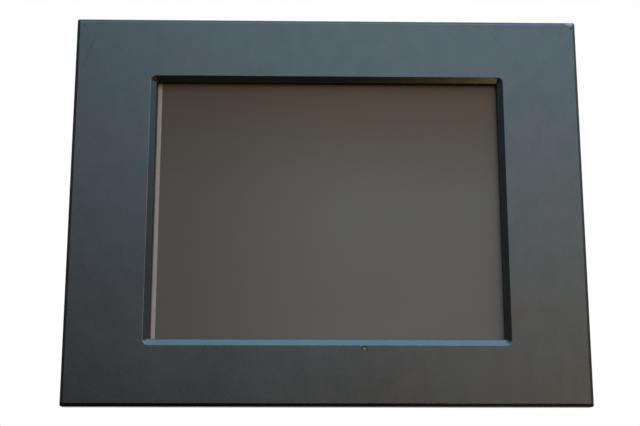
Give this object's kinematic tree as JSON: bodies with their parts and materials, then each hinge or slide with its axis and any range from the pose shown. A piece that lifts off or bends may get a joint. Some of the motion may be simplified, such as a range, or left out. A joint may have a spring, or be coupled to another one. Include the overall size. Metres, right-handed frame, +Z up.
{
  "type": "hmi touch panel",
  "caption": "Panel-mount operator touch screen: a flat metal bezel with a recessed screen, and a stepped rear case with ports, a hinged card door and slide switches.",
  "frame": {"origin": "centre of the cabinet's cut-out, in the plane where the bezel flange seats on the cabinet door", "axes": "+X to the right as the operator sees the screen, +Y into the cabinet, +Z up"},
  "size_m": [0.317, 0.058, 0.2434],
  "materials": {
    "bezel_coating": "satin fine-textured dark slate coating",
    "soft_black": "matte",
    "led_lens": "clear tinted",
    "circuit_board": "solder mask",
    "border_tape": "matte beige",
    "screen_film": "glossy dark brown-grey",
    "sensor_glass": "polished",
    "flex_tail": "amber polyimide",
    "display_steel": "rolled",
    "display_glass": "polarised",
    "clear_acrylic": "clear",
    "lamp_glass": "frosted",
    "screw_steel": "zinc plated",
    "chassis_steel": "zinc plated",
    "wire_insulation": "silicone",
    "brass": "turned",
    "component_black": "moulded",
    "capacitor_sleeve": "shrink sleeve",
    "anodised_grey": "anodised",
    "ivory_plastic": "moulded",
    "cell_steel": "polished",
    "case_metal": "satin",
    "label_film": "matte",
    "terminal_green": "moulded",
    "port_metal": "tin plated",
    "card_plastic": "moulded",
    "door_plastic": "moulded",
    "switch_red": "moulded",
    "lever_white": "moulded"
  },
  "bodies": {
    "housing": {"front_bezel": "bezel_coating", "panel_gasket": "soft_black", "status_led_lens": "led_lens", "status_led_board": "circuit_board", "touch_border": "border_tape", "touch_film": "screen_film", "touch_glass": "sensor_glass", "touch_seal": "soft_black", "touch_tail": "flex_tail", "lcd_front_frame": "display_steel", "lcd_cell": "display_glass", "light_guide": "clear_acrylic", "backlight_lamps": "lamp_glass", "lcd_back_plate": "display_steel", "lcd_brackets": "display_steel", "lcd_screws": "screw_steel", "lcd_ribbon_cable": "flex_tail", "chassis_plate": "chassis_steel", "chassis_screws": "screw_steel", "inverter_board": "circuit_board", "inverter_transformer": "component_black", "lamp_leads": "wire_insulation", "main_board": "circuit_board", "board_standoffs": "brass", "board_screws": "screw_steel", "board_components": "component_black", "capacitors": "capacitor_sleeve", "heat_sink": "anodised_grey", "buzzer": "component_black", "coin_cell_holder": "ivory_plastic", "coin_cell": "cell_steel", "expansion_connector": "component_black", "rear_case": "case_metal", "case_screws": "screw_steel", "expansion_cover": "case_metal", "expansion_screws": "screw_steel", "rating_label": "label_film", "connector_plate": "case_metal", "plate_screws": "screw_steel", "power_terminal": "terminal_green", "terminal_screws": "screw_steel", "serial_port_9": "port_metal", "serial_port_25": "port_metal", "port_inserts": "component_black", "port_posts": "screw_steel", "ethernet_jack": "port_metal", "usb_ports": "port_metal", "earth_screw": "brass", "card_socket": "component_black", "door_hinge_pin": "screw_steel", "dip_switch_block": "switch_red"},
    "card_door": {"card_door": "door_plastic"},
    "eject_button": {"eject_button": "component_black"},
    "memory_card": {"memory_card": "card_plastic"},
    "dip_lever_1": {"dip_lever_1": "lever_white"},
    "dip_lever_2": {"dip_lever_2": "lever_white"},
    "dip_lever_3": {"dip_lever_3": "lever_white"},
    "dip_lever_4": {"dip_lever_4": "lever_white"}
  },
  "joints": [
    {"name": "card_door_hinge", "type": "hinge", "parent": "housing", "child": "card_door", "pos_m": [0.1474, 0.0416, 0.025], "axis": [0, 0, 1], "range_deg": [0, 105]},
    {"name": "eject_button_push", "type": "slide", "parent": "housing", "child": "eject_button", "axis": [-1, 0, 0], "range_m": [0, 0.0055]},
    {"name": "memory_card_slide", "type": "slide", "parent": "housing", "child": "memory_card", "axis": [1, 0, 0], "range_m": [0, 0.0055]},
    {"name": "dip_lever_1_slide", "type": "slide", "parent": "housing", "child": "dip_lever_1", "axis": [0, 1, 0], "range_m": [0, 0.0016]},
    {"name": "dip_lever_2_slide", "type": "slide", "parent": "housing", "child": "dip_lever_2", "axis": [0, 1, 0], "range_m": [0, 0.0016]},
    {"name": "dip_lever_3_slide", "type": "slide", "parent": "housing", "child": "dip_lever_3", "axis": [0, 1, 0], "range_m": [0, 0.0016]},
    {"name": "dip_lever_4_slide", "type": "slide", "parent": "housing", "child": "dip_lever_4", "axis": [0, 1, 0], "range_m": [0, 0.0016]}
  ],
  "couplings": [
    {"joint": "memory_card_slide", "follows": "eject_button_push", "ratio": 1}
  ]
}
